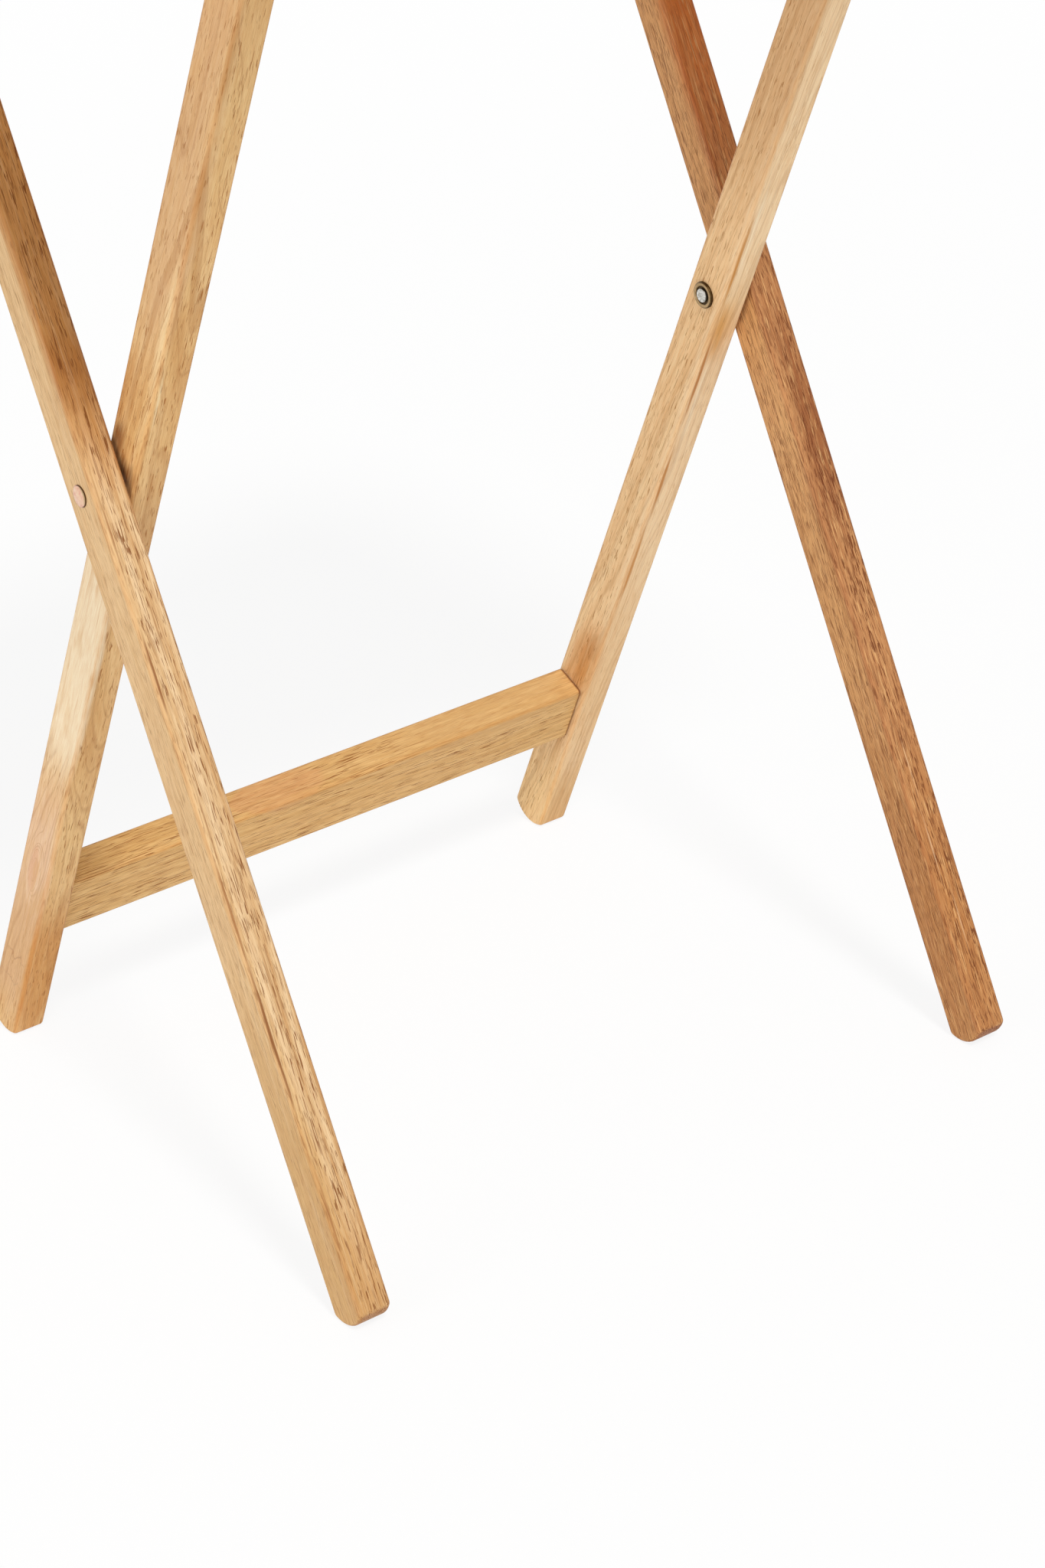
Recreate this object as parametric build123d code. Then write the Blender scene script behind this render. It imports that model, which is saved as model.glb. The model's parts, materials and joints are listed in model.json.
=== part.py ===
"""Folding snack table: a wooden tray on two crossed leg frames.

Millimetres, +Z up, -Y is the front, the floor is z = 0 and the tray is centred on x = y = 0.
The outer legs have their feet at the front, the inner legs have theirs at the back.
"""
from build123d import *
import math
import os

# Overall sizes
TABLE_HEIGHT = 660.0
TRAY_LENGTH = 483.0
TRAY_DEPTH = 368.0
TRAY_THICKNESS = 15.5
OUTER_WIDTH = 387.0  # over the outside faces of the outer legs

# Tray shape
TRAY_CORNER = 30.0
TRAY_TOP_ROUND = 6.0
TRAY_BOTTOM_ROUND = 4.0

# Legs
LEG_LEAN = 25.5  # degrees from upright
LEG_WIDTH = 23.0
LEG_THICKNESS = 17.5
LEG_EASE = 2.0  # rounding of the long edges
FOOT_NOSE = 15.5  # radius of the foot's rounded end
FOOT_CORNER = 3.0  # rounding between the foot's end and the leg's faces

# Lower stretcher between the inner legs
STRETCHER_RISE = 93.1  # from the foot up the leg to the middle of the bar
STRETCHER_WIDTH = 36.0
STRETCHER_THICKNESS = 19.0
STRETCHER_SET_BACK = 1.0
STRETCHER_EASE = 2.0
STRETCHER_END_BEVEL = 0.8
PEG_DIAMETER = 8.0
PEG_SPACING = 18.0
PEG_IN_LEG = 11.0
PEG_IN_STRETCHER = 19.0

# Rod that the tray turns on, at the tops of the outer legs
ROD_DIAMETER = 12.0
ROD_IN_LEG = 11.0
HINGE_INSET = 50.0  # from the back edge of the tray to the rod's axis
LEG_TOP_GAP = 2.0  # between the round tops of the outer legs and the tray

# Bar that locks the tray, at the tops of the inner legs
BAR_DIAMETER = 14.0
BAR_TENON_DIAMETER = 10.0
BAR_TENON = 11.0
FOLD_GAP = 2.0  # left between the inner frame's top and the hinge when the legs are shut

# Cleats under the tray
CLEAT_THICKNESS = 18.0
CLEAT_SIDE_GAP = 2.4  # between a cleat and the inner leg beside it
CLEAT_BOSS_WALL = 5.0  # wood round the rod's bore
CLEAT_EASE = 1.5
HOOK_THICKNESS = 14.0
HOOK_REACH = 7.0  # below the bar's axis, in front of the bar
LIP_REACH = 1.0  # below the bar's axis, behind the bar
HOOK_ROUND = 5.0
NOTCH_RAMP = 22.0  # degrees, the slope that lets the bar slide out to the back

# Cleat screws
SCREW_COUNT = 3
SCREW_END_INSET = 42.0  # from the rod's axis and from the notch to the outermost screws
SCREW_DIAMETER = 4.0
SCREW_POINT = 4.0
SCREW_TIP_DIAMETER = 1.0
SCREW_HEAD_DIAMETER = 8.0
SCREW_HEAD_HEIGHT = 2.6
SCREW_GRIP = 14.0  # wood of the cleat that is clamped under a head
SCREW_IN_TRAY = 10.5
SCREW_SLOT_WIDTH = 1.2
SCREW_SLOT_DEPTH = 1.1

# Pivot rivets and washers
RIVET_DIAMETER = 5.0
RIVET_HEAD_DIAMETER = 10.4
RIVET_HEAD_HEIGHT = 1.3
RIVET_HEAD_EDGE = 0.4
SPACER_DIAMETER = 14.0
SPACER_THICKNESS = 1.5
WASHER_DIAMETER = 13.2
WASHER_RIM_HEIGHT = 1.5
WASHER_RIM_WIDTH = 2.3
WASHER_RIM_ROUND = 0.9
WASHER_WEB = 0.8
TAIL_DIAMETER = 7.0
TAIL_HEIGHT = 1.2
TAIL_ROUND = 0.5
TAIL_DISH_DIAMETER = 4.4
TAIL_DISH_DEPTH = 0.4

# Clearances
TURN_CLEARANCE = 0.06  # radial, where one piece turns on another
SEAT_CLEARANCE = 0.3  # radial, between the lock bar and its notch
FIT_CLEARANCE = 0.05  # radial, on glued pegs, tenons and screws
SIDE_CLEARANCE = 0.1  # between flat faces that slide past each other
END_CLEARANCE = 0.5  # at the blind end of a socket

# Heights and places worked out from the sizes above
lean = math.radians(LEG_LEAN)
half_leg = LEG_WIDTH / 2
tray_underside = TABLE_HEIGHT - TRAY_THICKNESS
rod_radius = ROD_DIAMETER / 2
boss_radius = rod_radius + CLEAT_BOSS_WALL
rod_height = tray_underside - LEG_TOP_GAP - half_leg
rod_y = TRAY_DEPTH / 2 - HINGE_INSET
rod_reach = rod_y / math.sin(lean)
pivot_height = rod_height - rod_reach * math.cos(lean)
foot_reach = (pivot_height - FOOT_NOSE) / math.cos(lean) + FOOT_NOSE
stretcher_drop = foot_reach - STRETCHER_RISE
seat_radius = BAR_DIAMETER / 2 + SEAT_CLEARANCE
bar_reach = rod_reach - FOLD_GAP - max(half_leg + rod_radius, boss_radius + BAR_DIAMETER / 2)
bar_height = pivot_height + bar_reach * math.cos(lean)
bar_y = -bar_reach * math.sin(lean)

# Faces of the right-hand pieces, counted outwards from the middle of the table
outer_leg_outside = OUTER_WIDTH / 2
outer_leg_inside = outer_leg_outside - LEG_THICKNESS
spacer_inside = outer_leg_inside - SPACER_THICKNESS
inner_leg_outside = spacer_inside - SIDE_CLEARANCE
inner_leg_inside = inner_leg_outside - LEG_THICKNESS
washer_face = inner_leg_inside - SIDE_CLEARANCE
cleat_outside = inner_leg_inside - CLEAT_SIDE_GAP
cleat_inside = cleat_outside - CLEAT_THICKNESS
cleat_middle = (cleat_inside + cleat_outside) / 2


def leg_plane(x, leans_back):
    """Plane on a leg's side face at x: local X runs across the leg, local Y up along it."""
    tilt = -1 if leans_back else 1
    across = (0, math.cos(lean), tilt * math.sin(lean))
    return Plane(origin=(x, 0, pivot_height), x_dir=across, z_dir=(1, 0, 0))


def side_plane(x):
    """Upright plane at x: local X is the table's Y, local Y is its Z."""
    return Plane(origin=(x, 0, 0), x_dir=(0, 1, 0), z_dir=(1, 0, 0))


def along_x(plane, at, diameter, length):
    """Round bar along +X that starts on the plane."""
    return extrude(plane * Pos(*at) * Circle(diameter / 2), length)


def leg_blank(x, leans_back, reach):
    """Leg with a full-round top about its upper axis, a round-nosed foot and eased edges."""
    nose = FOOT_NOSE - foot_reach
    foot = Pos(0, nose - FOOT_NOSE / 2) * Rectangle(LEG_WIDTH, FOOT_NOSE)
    foot &= Pos(0, nose) * Circle(FOOT_NOSE)
    outline = foot + Pos(0, (reach + nose) / 2) * Rectangle(LEG_WIDTH, reach - nose)
    foot_corners = outline.vertices().group_by(Axis.Y)[0]
    outline = fillet(foot_corners, FOOT_CORNER) + Pos(0, reach) * Circle(half_leg)
    blank = extrude(leg_plane(x, leans_back) * outline, LEG_THICKNESS)
    sides = blank.faces().filter_by(Axis.X)
    return fillet(sides.edges(), LEG_EASE)


def outer_leg():
    """Right outer leg: blind socket for the hinge rod and a hole for the rivet."""
    plane = leg_plane(outer_leg_inside, True)
    socket = along_x(plane, (0, rod_reach), ROD_DIAMETER + 2 * TURN_CLEARANCE, ROD_IN_LEG + END_CLEARANCE)
    rivet_hole = along_x(plane, (0, 0), RIVET_DIAMETER + 2 * FIT_CLEARANCE, LEG_THICKNESS)
    return leg_blank(outer_leg_inside, True, rod_reach) - socket - rivet_hole


def peg_places():
    """Two pegs beside each other along the width of the stretcher, in the inner leg's plane."""
    half = PEG_SPACING / 2
    return [(STRETCHER_SET_BACK, offset - stretcher_drop) for offset in (-half, half)]


def inner_leg():
    """Right inner leg: sockets for the lock bar and the stretcher pegs, and a hole for the rivet."""
    plane = leg_plane(inner_leg_inside, False)
    leg = leg_blank(inner_leg_inside, False, bar_reach)
    leg -= along_x(plane, (0, bar_reach), BAR_TENON_DIAMETER + 2 * FIT_CLEARANCE, BAR_TENON + END_CLEARANCE)
    leg -= along_x(plane, (0, 0), RIVET_DIAMETER + 2 * TURN_CLEARANCE, LEG_THICKNESS)
    for place in peg_places():
        leg -= along_x(plane, place, PEG_DIAMETER + 2 * FIT_CLEARANCE, PEG_IN_LEG + END_CLEARANCE)
    return leg


def lower_stretcher():
    """Flat bar between the inner legs, with peg sockets in both ends."""
    plane = leg_plane(-inner_leg_inside, False)
    section = RectangleRounded(STRETCHER_THICKNESS, STRETCHER_WIDTH, STRETCHER_EASE)
    bar = extrude(plane * Pos(STRETCHER_SET_BACK, -stretcher_drop) * section, 2 * inner_leg_inside)
    bar = chamfer(bar.faces().filter_by(Axis.X).edges(), STRETCHER_END_BEVEL)
    depth = PEG_IN_STRETCHER + END_CLEARANCE
    for place in peg_places():
        for start in (-inner_leg_inside, inner_leg_inside - depth):
            bar -= along_x(leg_plane(start, False), place, PEG_DIAMETER + 2 * FIT_CLEARANCE, depth)
    return bar


def stretcher_pegs():
    """The two wooden pegs at the right-hand end of the stretcher."""
    plane = leg_plane(inner_leg_inside - PEG_IN_STRETCHER, False)
    return [along_x(plane, place, PEG_DIAMETER, PEG_IN_STRETCHER + PEG_IN_LEG) for place in peg_places()]


def hinge_rod():
    """Plain dowel from one outer leg to the other, on which the tray turns."""
    half = outer_leg_inside + ROD_IN_LEG
    return along_x(side_plane(-half), (rod_y, rod_height), ROD_DIAMETER, 2 * half)


def lock_bar():
    """Dowel between the inner legs, with a shouldered tenon at each end."""
    at = (bar_y, bar_height)
    half = inner_leg_inside + BAR_TENON
    tenons = along_x(side_plane(-half), at, BAR_TENON_DIAMETER, 2 * half)
    return tenons + along_x(side_plane(-inner_leg_inside), at, BAR_DIAMETER, 2 * inner_leg_inside)


def notch_ramp_point(drop):
    """Point of the notch's sloping rear side that lies this far below the lock bar's axis."""
    ramp = math.radians(NOTCH_RAMP)
    fall = seat_radius * math.cos(ramp) + drop
    return (bar_y + seat_radius * math.sin(ramp) + fall / math.tan(ramp), bar_height - drop)


def cleat_outline():
    """Side view of a cleat: round boss at the rod, tapering body, and a hook over the lock bar."""
    hook_back = bar_y - seat_radius
    hook_front = hook_back - HOOK_THICKNESS
    hook_tip = bar_height - HOOK_REACH
    rear = rod_y + boss_radius
    lip = notch_ramp_point(LIP_REACH)
    body = make_face(
        Polyline(
            (rear, tray_underside),
            (rear, rod_height),
            (rod_y, rod_height - boss_radius),
            lip,
            (hook_back, hook_tip),
            (hook_front, hook_tip),
            (hook_front, tray_underside),
            close=True,
        )
    )
    below = hook_tip - HOOK_REACH
    notch = make_face(
        Polyline(
            notch_ramp_point(-seat_radius * math.cos(math.radians(NOTCH_RAMP))),
            notch_ramp_point(bar_height - below),
            (hook_back, below),
            (hook_back, bar_height),
            (bar_y, bar_height),
            close=True,
        )
    )
    boss = Pos(rod_y, rod_height) * Circle(boss_radius)
    seat = Pos(bar_y, bar_height) * Circle(seat_radius)
    outline = body + boss - notch - seat
    tip_corner = outline.vertices().sort_by_distance((hook_front, hook_tip, 0))[0]
    return fillet([tip_corner], HOOK_ROUND)


def screw_places():
    """Y of each cleat screw, evenly spaced between the rod and the notch."""
    first = notch_ramp_point(LIP_REACH)[0] + SCREW_END_INSET
    last = rod_y - SCREW_END_INSET
    step = (last - first) / (SCREW_COUNT - 1)
    return [first + index * step for index in range(SCREW_COUNT)]


def cleat_screw(y):
    """Slotted cylinder-head screw, head downwards in its counterbore, with its point in the tray."""
    shank_length = SCREW_GRIP + SCREW_IN_TRAY - SCREW_POINT
    shank = extrude(Circle(SCREW_DIAMETER / 2), shank_length)
    upwards = (Align.CENTER, Align.CENTER, Align.MIN)
    point = Cone(SCREW_DIAMETER / 2, SCREW_TIP_DIAMETER / 2, SCREW_POINT, align=upwards)
    head = extrude(Circle(SCREW_HEAD_DIAMETER / 2), -SCREW_HEAD_HEIGHT)
    slot = Pos(0, 0, -SCREW_HEAD_HEIGHT) * Box(SCREW_HEAD_DIAMETER, SCREW_SLOT_WIDTH, 2 * SCREW_SLOT_DEPTH)
    screw = shank + Pos(0, 0, shank_length) * point + head - slot
    return Pos(cleat_middle, y, tray_underside - SCREW_GRIP) * screw


def cleat():
    """Right cleat: rod bore at the back, hook notch at the front, counterbored screw holes."""
    plane = side_plane(cleat_inside)
    blank = extrude(plane * cleat_outline(), CLEAT_THICKNESS)
    on_tray = blank.faces().sort_by(Axis.Z)[-1].edges()
    side_edges = blank.faces().filter_by(Axis.X).edges()
    blank = fillet([edge for edge in side_edges if edge not in on_tray], CLEAT_EASE)
    blank -= along_x(plane, (rod_y, rod_height), ROD_DIAMETER + 2 * TURN_CLEARANCE, CLEAT_THICKNESS)
    hole = Circle(SCREW_DIAMETER / 2 + FIT_CLEARANCE)
    counterbore = Circle(SCREW_HEAD_DIAMETER / 2 + FIT_CLEARANCE)
    for y in screw_places():
        seat = Pos(cleat_middle, y, tray_underside - SCREW_GRIP)
        blank -= extrude(seat * hole, SCREW_GRIP)
        blank -= extrude(seat * counterbore, bar_height - tray_underside)
    return blank


def tray_top():
    """Flat board with rounded corners, a rounded rim and blind pilot holes for the cleat screws."""
    outline = Pos(0, 0, tray_underside) * RectangleRounded(TRAY_LENGTH, TRAY_DEPTH, TRAY_CORNER)
    board = extrude(outline, TRAY_THICKNESS)
    board = fillet(board.faces().sort_by(Axis.Z)[-1].edges(), TRAY_TOP_ROUND)
    board = fillet(board.faces().sort_by(Axis.Z)[0].edges(), TRAY_BOTTOM_ROUND)
    pilot = Circle(SCREW_DIAMETER / 2 + FIT_CLEARANCE)
    for y in screw_places():
        for x in (-cleat_middle, cleat_middle):
            board -= extrude(Pos(x, y, tray_underside) * pilot, SCREW_IN_TRAY + END_CLEARANCE)
    return board


def about_pivot(section):
    """Revolve a half section, drawn with X along the rivet and Y as radius, about the pivot axis."""
    return Pos(0, 0, pivot_height) * revolve(Plane.XZ * section, Axis.X, 360)


def ring_section(x_low, x_high, r_low, r_high):
    """Rectangle between two places along the rivet and two radii."""
    middle = Pos((x_low + x_high) / 2, (r_low + r_high) / 2)
    return middle * Rectangle(x_high - x_low, r_high - r_low)


def pivot_rivet():
    """Right rivet: low domed head outside, plain shank, and a peened, dished tail inside."""
    head = RIVET_HEAD_DIAMETER / 2
    head_top = outer_leg_outside + RIVET_HEAD_HEIGHT
    dome = RIVET_HEAD_HEIGHT - RIVET_HEAD_EDGE
    dome_radius = (head**2 + dome**2) / (2 * dome)
    domed_head = ring_section(outer_leg_outside, head_top, 0, head)
    domed_head &= Pos(head_top - dome_radius, 0) * Circle(dome_radius)
    tail_seat = washer_face - WASHER_WEB
    tail_end = tail_seat - TAIL_HEIGHT
    shank = ring_section(tail_end, outer_leg_outside, 0, RIVET_DIAMETER / 2)
    tail = ring_section(tail_end, tail_seat, 0, TAIL_DIAMETER / 2)
    tail_corner = tail.vertices().sort_by_distance((tail_end, TAIL_DIAMETER / 2, 0))[0]
    tail = fillet([tail_corner], TAIL_ROUND)
    dish_radius = ((TAIL_DISH_DIAMETER / 2) ** 2 + TAIL_DISH_DEPTH**2) / (2 * TAIL_DISH_DEPTH)
    dish = Pos(tail_end + TAIL_DISH_DEPTH - dish_radius, 0) * Circle(dish_radius)
    return about_pivot(domed_head + shank + tail - dish)


def tail_washer():
    """Right dished washer under the rivet's tail: a thin web inside a raised, rounded rim."""
    outer = WASHER_DIAMETER / 2
    rim = ring_section(washer_face - WASHER_RIM_HEIGHT, washer_face, outer - WASHER_RIM_WIDTH, outer)
    rim = fillet(rim.vertices().group_by(Axis.X)[0], WASHER_RIM_ROUND)
    bore = RIVET_DIAMETER / 2 + FIT_CLEARANCE
    web = ring_section(washer_face - WASHER_WEB, washer_face, bore, outer - WASHER_RIM_WIDTH / 2)
    return about_pivot(rim + web)


def spacer_washer():
    """Right flat washer that keeps the two legs apart."""
    at = (0, pivot_height)
    plane = side_plane(spacer_inside)
    bore = along_x(plane, at, RIVET_DIAMETER + 2 * FIT_CLEARANCE, SPACER_THICKNESS)
    return along_x(plane, at, SPACER_DIAMETER, SPACER_THICKNESS) - bore


def write(name, solids):
    """Write one piece, or a group of like pieces, to its own file."""
    shape = solids[0] if len(solids) == 1 else Compound(children=solids)
    shape.label = name
    export_step(shape, os.path.join("parts", name + ".step"))


def write_pair(name, solids):
    """Write the right-hand pieces and their mirror images on the left."""
    write(name + "_right", solids)
    write(name + "_left", [mirror(solid, Plane.YZ) for solid in solids])


os.makedirs("parts", exist_ok=True)
write("tray_top", [tray_top()])
write("hinge_rod", [hinge_rod()])
write("lock_bar", [lock_bar()])
write("lower_stretcher", [lower_stretcher()])
write_pair("cleat", [cleat()])
write_pair("cleat_screws", [cleat_screw(y) for y in screw_places()])
write_pair("outer_leg", [outer_leg()])
write_pair("inner_leg", [inner_leg()])
write_pair("stretcher_pegs", stretcher_pegs())
write_pair("pivot_rivet", [pivot_rivet()])
write_pair("tail_washer", [tail_washer()])
write_pair("spacer_washer", [spacer_washer()])
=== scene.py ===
"""Looks of the folding snack table: its woods, metals, studio light and camera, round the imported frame."""

import json
import math
from dataclasses import dataclass

import bpy
from mathutils import Matrix, Vector

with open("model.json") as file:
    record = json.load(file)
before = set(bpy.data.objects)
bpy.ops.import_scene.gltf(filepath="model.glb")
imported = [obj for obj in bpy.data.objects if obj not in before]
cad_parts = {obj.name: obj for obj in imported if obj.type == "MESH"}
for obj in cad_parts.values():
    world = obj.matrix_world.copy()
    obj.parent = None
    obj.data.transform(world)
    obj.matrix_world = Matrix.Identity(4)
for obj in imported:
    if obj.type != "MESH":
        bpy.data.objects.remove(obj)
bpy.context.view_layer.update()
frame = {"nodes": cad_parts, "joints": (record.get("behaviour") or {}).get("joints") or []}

# Frame: where the legs cross, and how far they lean from upright
LEG_LEAN = math.radians(25.5)
PIVOT = Vector(next(j["pos_m"] for j in frame["joints"] if j["name"] == "leg_fold"))

# Camera, from the vanishing lines of the legs and the stretcher; metres and degrees
CAMERA_PLACE = Vector((-1.0364, -1.4817, 1.0793))
CAMERA_YAW = math.radians(35.889)
CAMERA_PITCH = math.radians(-27.458)
CAMERA_ROLL = math.radians(-2.817)
CAMERA_LENS = 97.29
CAMERA_SENSOR = 36.0

# Studio: metres, watts, and shares of full white
FLOOR_HALF = 6.0
FLOOR_COLOUR = (246, 246, 245)
FLOOR_GLOW = 0.88
FLOOR_FADE_FROM = 0.6
FLOOR_FADE_TO = 2.6
SKY_LEVEL = 0.47
KEY_FROM = Vector((-0.14, -0.56, 0.82))
KEY_AWAY = 3.0
KEY_ANGLE = math.radians(11.0)
KEY_STRENGTH = 1.8
LEFT_PLACE = Vector((-2.6, -0.5, 0.9))
LEFT_SIZE = 1.6
LEFT_POWER = 17.0
AIM = Vector((0.0, 0.0, 0.33))
WHITE = (255, 255, 255)

# Wood, alike in every stave: metres, and shares from 0 to 1
SEED_SHIFT = Vector((0.731, 1.377, 2.113))
STAVE_SHIFT = (1.0, 1.0, 3.0)
STAVE_RINGS = 3.0
RING_WARP = 5.0
PATCH_WANDER = 0.003
STROKE_WANDER = 0.001
ALONG_WANDER = 0.02
ARRIS_WIDTH = 0.0022
ARRIS_CORE = 0.00066
SEAM_WIDTH = 0.0018
SEAM_CORE = 0.0006
DASH_BAR = 0.690
DASH_GAIN = 0.055
DASH_CROWD = 0.055
BOLD_BAR = 0.750
BOLD_GAIN = 0.048
BOLD_CROWD = 0.045
TONE_SHARE = 0.50
SAP_SHARE = 0.85
PALE_SHARE = 0.30
FIBRE_SHARE = 0.36
PORE_SHARE = 0.90
END_SHARE = 0.55
# Painted shade along the long edges
ARRIS_SHADE_SHARE = 0.25
GLUE_SHARE = 0.6
FIBRE_RELIEF = 0.35
PORE_ROUGHNESS = 0.2
WOOD_SPECULAR = 0.24
WOOD_RELIEF = 0.00020
RELIEF_STRENGTH = 0.6

# Metal: where one look gives way to the next, in metres from the rivets' axis
# The olive ring and the dark head rim are painted shade
OLIVE_RING = (0.0036, 0.0046)
HEAD_RIM = (0.0045, 0.0050)
# The dark rim of the tail is painted shade
TAIL_RIM = (0.0031, 0.0035)
CROWN_INNER = (0.0043, 0.0050)
CROWN_OUTER = (0.0058, 0.0064)
TAIL_TO_HEAD = (0.170, 0.185)  # from the middle of the table
RIVET_RELIEF = 0.00020
WASHER_RELIEF = 0.00008
STEEL_RELIEF = 0.00005

# Noise: between which values nearly all of it lies, and where it shows as clouds
NOISE_SPREAD = (0.3, 0.7)
CLOUDED = (0.35, 0.70)


def linear(colour, alpha=1.0):
    """A colour written as 0 to 255 sRGB, as the linear numbers that a node takes."""
    shares = [c / 255 for c in colour]
    return tuple(c / 12.92 if c <= 0.04045 else ((c + 0.055) / 1.055) ** 2.4 for c in shares) + (alpha,)


class Nodes:
    """A material's node tree, with a short call for each kind of node that the finishes use."""

    def __init__(self, name):
        self.material = bpy.data.materials.new(name)
        self.material.use_nodes = True
        self.tree = self.material.node_tree
        self.shader = self.tree.nodes["Principled BSDF"]

    def add(self, kind, **settings):
        node = self.tree.nodes.new("ShaderNode" + kind)
        for key, value in settings.items():
            setattr(node, key, value)
        return node

    def put(self, socket, value):
        """Joins an output to the socket, or writes a plain value in it."""
        if isinstance(value, bpy.types.NodeSocket):
            self.tree.links.new(value, socket)
        else:
            socket.default_value = value

    def math(self, operation, first, second=0.0):
        node = self.add("Math", operation=operation)
        self.put(node.inputs[0], first)
        self.put(node.inputs[1], second)
        return node.outputs[0]

    def vector(self, operation, first, second=(0.0, 0.0, 0.0)):
        node = self.add("VectorMath", operation=operation)
        self.put(node.inputs[0], first)
        self.put(node.inputs[1], second)
        return node.outputs["Value" if operation in ("LENGTH", "DOT_PRODUCT") else "Vector"]

    def split(self, vector):
        node = self.add("SeparateXYZ")
        self.put(node.inputs[0], vector)
        return node.outputs

    def step(self, value, low, high, at_low=0.0, at_high=1.0):
        """A soft step: at_low up to low, at_high from high on."""
        node = self.add("MapRange", interpolation_type="SMOOTHSTEP", clamp=True)
        names = ("Value", "From Min", "From Max", "To Min", "To Max")
        for name, number in zip(names, (value, low, high, at_low, at_high)):
            self.put(node.inputs[name], number)
        return node.outputs[0]

    def mix(self, share, first, second, blend="MIX"):
        """A mix of two colours, written as sRGB or taken from a node."""
        node = self.add("Mix", data_type="RGBA", blend_type=blend)
        self.put(node.inputs["Factor"], share)
        for name, colour in (("A", first), ("B", second)):
            socket = next(s for s in node.inputs if s.name == name and s.type == "RGBA")
            self.put(socket, linear(colour) if isinstance(colour, tuple) else colour)
        return next(s for s in node.outputs if s.type == "RGBA")

    def ramp(self, value, stops):
        node = self.add("ValToRGB")
        self.put(node.inputs[0], value)
        elements = node.color_ramp.elements
        while len(elements) < len(stops):
            elements.new(1.0)
        for element, (place, colour) in zip(elements, stops):
            element.position = place
            element.color = linear(colour)
        return node.outputs[0]

    def noise_outputs(self, vector, across, along, detail):
        node = self.add("TexNoise", noise_dimensions="3D")
        drawn_out = self.vector("MULTIPLY", vector, (1 / across, 1 / across, 1 / along))
        self.put(node.inputs["Vector"], drawn_out)
        self.put(node.inputs["Scale"], 1.0)
        self.put(node.inputs["Detail"], detail)
        return node.outputs

    def noise(self, vector, across, along, detail=2.0):
        """Noise drawn out along the grain: across and along are the sizes of its patches."""
        return self.noise_outputs(vector, across, along, detail)[0]

    def wander(self, vector, across, along, detail=2.0):
        """The same as a shift in three directions, from about -0.5 to 0.5 in each."""
        colour = self.noise_outputs(vector, across, along, detail)[1]
        return self.vector("SUBTRACT", colour, (0.5, 0.5, 0.5))

    def line_noise(self, value, size, detail=2.0):
        """Noise along one measure, such as the distance from the heart of the tree."""
        node = self.add("TexNoise", noise_dimensions="1D")
        self.put(node.inputs["W"], self.math("DIVIDE", value, size))
        self.put(node.inputs["Scale"], 1.0)
        self.put(node.inputs["Detail"], detail)
        return node.outputs[0]

    def bump(self, height, distance):
        node = self.add("Bump")
        self.put(node.inputs["Height"], height)
        node.inputs["Distance"].default_value = distance
        node.inputs["Strength"].default_value = RELIEF_STRENGTH
        self.put(self.shader.inputs["Normal"], node.outputs[0])


@dataclass
class Patch:
    """A stain, a streak, a paler place, or painted shade or painted light in the wood: where it is in the
    piece, its size and its colour.

    Sharp moves its fading to its rim; calm takes the pores away from it.
    """

    place: tuple
    size: tuple
    colour: tuple
    share: float
    sharp: float = 0.0
    calm: float = 0.0


@dataclass
class Eye:
    """A place where the rings swell round a pin knot, so that they show as ovals."""

    place: tuple
    size: tuple
    lift: float


@dataclass
class Wood:
    """How one stave looks. Colours are sRGB, lengths metres, shares run from 0 to 1.

    Patches lie under the grain's lines and pores; strokes are thin patches that lie over them.
    """

    pale: tuple
    honey: tuple
    deep: tuple
    pore: tuple = (150, 98, 50)
    seed: float = 0.0
    band: float = 0.0060
    heart: tuple = (0.050, 0.030)
    warp: float = 0.0035
    taper: float = 0.0
    rings: float = 0.0
    streak: float = 0.55
    mottle: float = 0.40
    dashes: float = 0.6
    dash_length: float = 0.0078
    fine: float = 0.3
    flecks: float = 0.0
    sap: tuple = None
    sap_side: tuple = (0.0, 0.0, 0.0)
    sap_depth: float = 0.004
    sap_dashes: float = 0.35
    eyes: tuple = ()
    patches: tuple = ()
    strokes: tuple = ()
    seam: float = 0.0
    staves: float = 0.0


def axes(across, along):
    """A piece's own directions as a matrix: through its thickness, over its width, along its grain."""
    across = Vector(across)
    along = Vector(along)
    return Matrix((across, along.cross(across), along)).transposed()


def local_box(node, directions):
    """The middle and the half sizes of a node, measured along its own directions."""
    back = directions.transposed()
    points = [back @ v.co for v in frame["nodes"][node].data.vertices]
    low = Vector([min(p[i] for p in points) for i in range(3)])
    high = Vector([max(p[i] for p in points) for i in range(3)])
    return directions @ ((low + high) / 2), (high - low) / 2


def piece_place(n, centre, directions):
    """Places measured from the piece's middle, along its own directions."""
    node = n.add("Mapping", vector_type="TEXTURE")
    n.put(node.inputs["Vector"], n.add("TexCoord").outputs["Object"])
    n.put(node.inputs["Location"], centre)
    n.put(node.inputs["Rotation"], directions.to_euler())
    return node.outputs[0]


def grain_place(n, place, wood):
    """Places in the tree that the stave was sawn from, with the slow wander of its grain."""
    apart = n.vector("ADD", place, SEED_SHIFT * wood.seed)
    wander = n.wander(apart, across=0.030, along=0.11, detail=1.0)
    return n.vector("ADD", apart, n.vector("MULTIPLY", wander, (wood.warp, wood.warp, 0.0)))


def stave_places(n, place, grain, width):
    """Staves glued edge to edge, each from another part of the tree: their grain, glue lines and tone."""
    over = n.math("DIVIDE", n.split(place)[1], width)
    node = n.add("TexWhiteNoise", noise_dimensions="1D")
    n.put(node.inputs["W"], n.math("FLOOR", over))
    apart = n.vector("MULTIPLY", node.outputs["Color"], STAVE_SHIFT)
    from_edge = n.math("PINGPONG", over, 0.5)
    glue = n.step(from_edge, 0.0025, 0.0090, 1.0, 0.0)
    return n.vector("ADD", grain, apart), glue, node.outputs["Value"]


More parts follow.
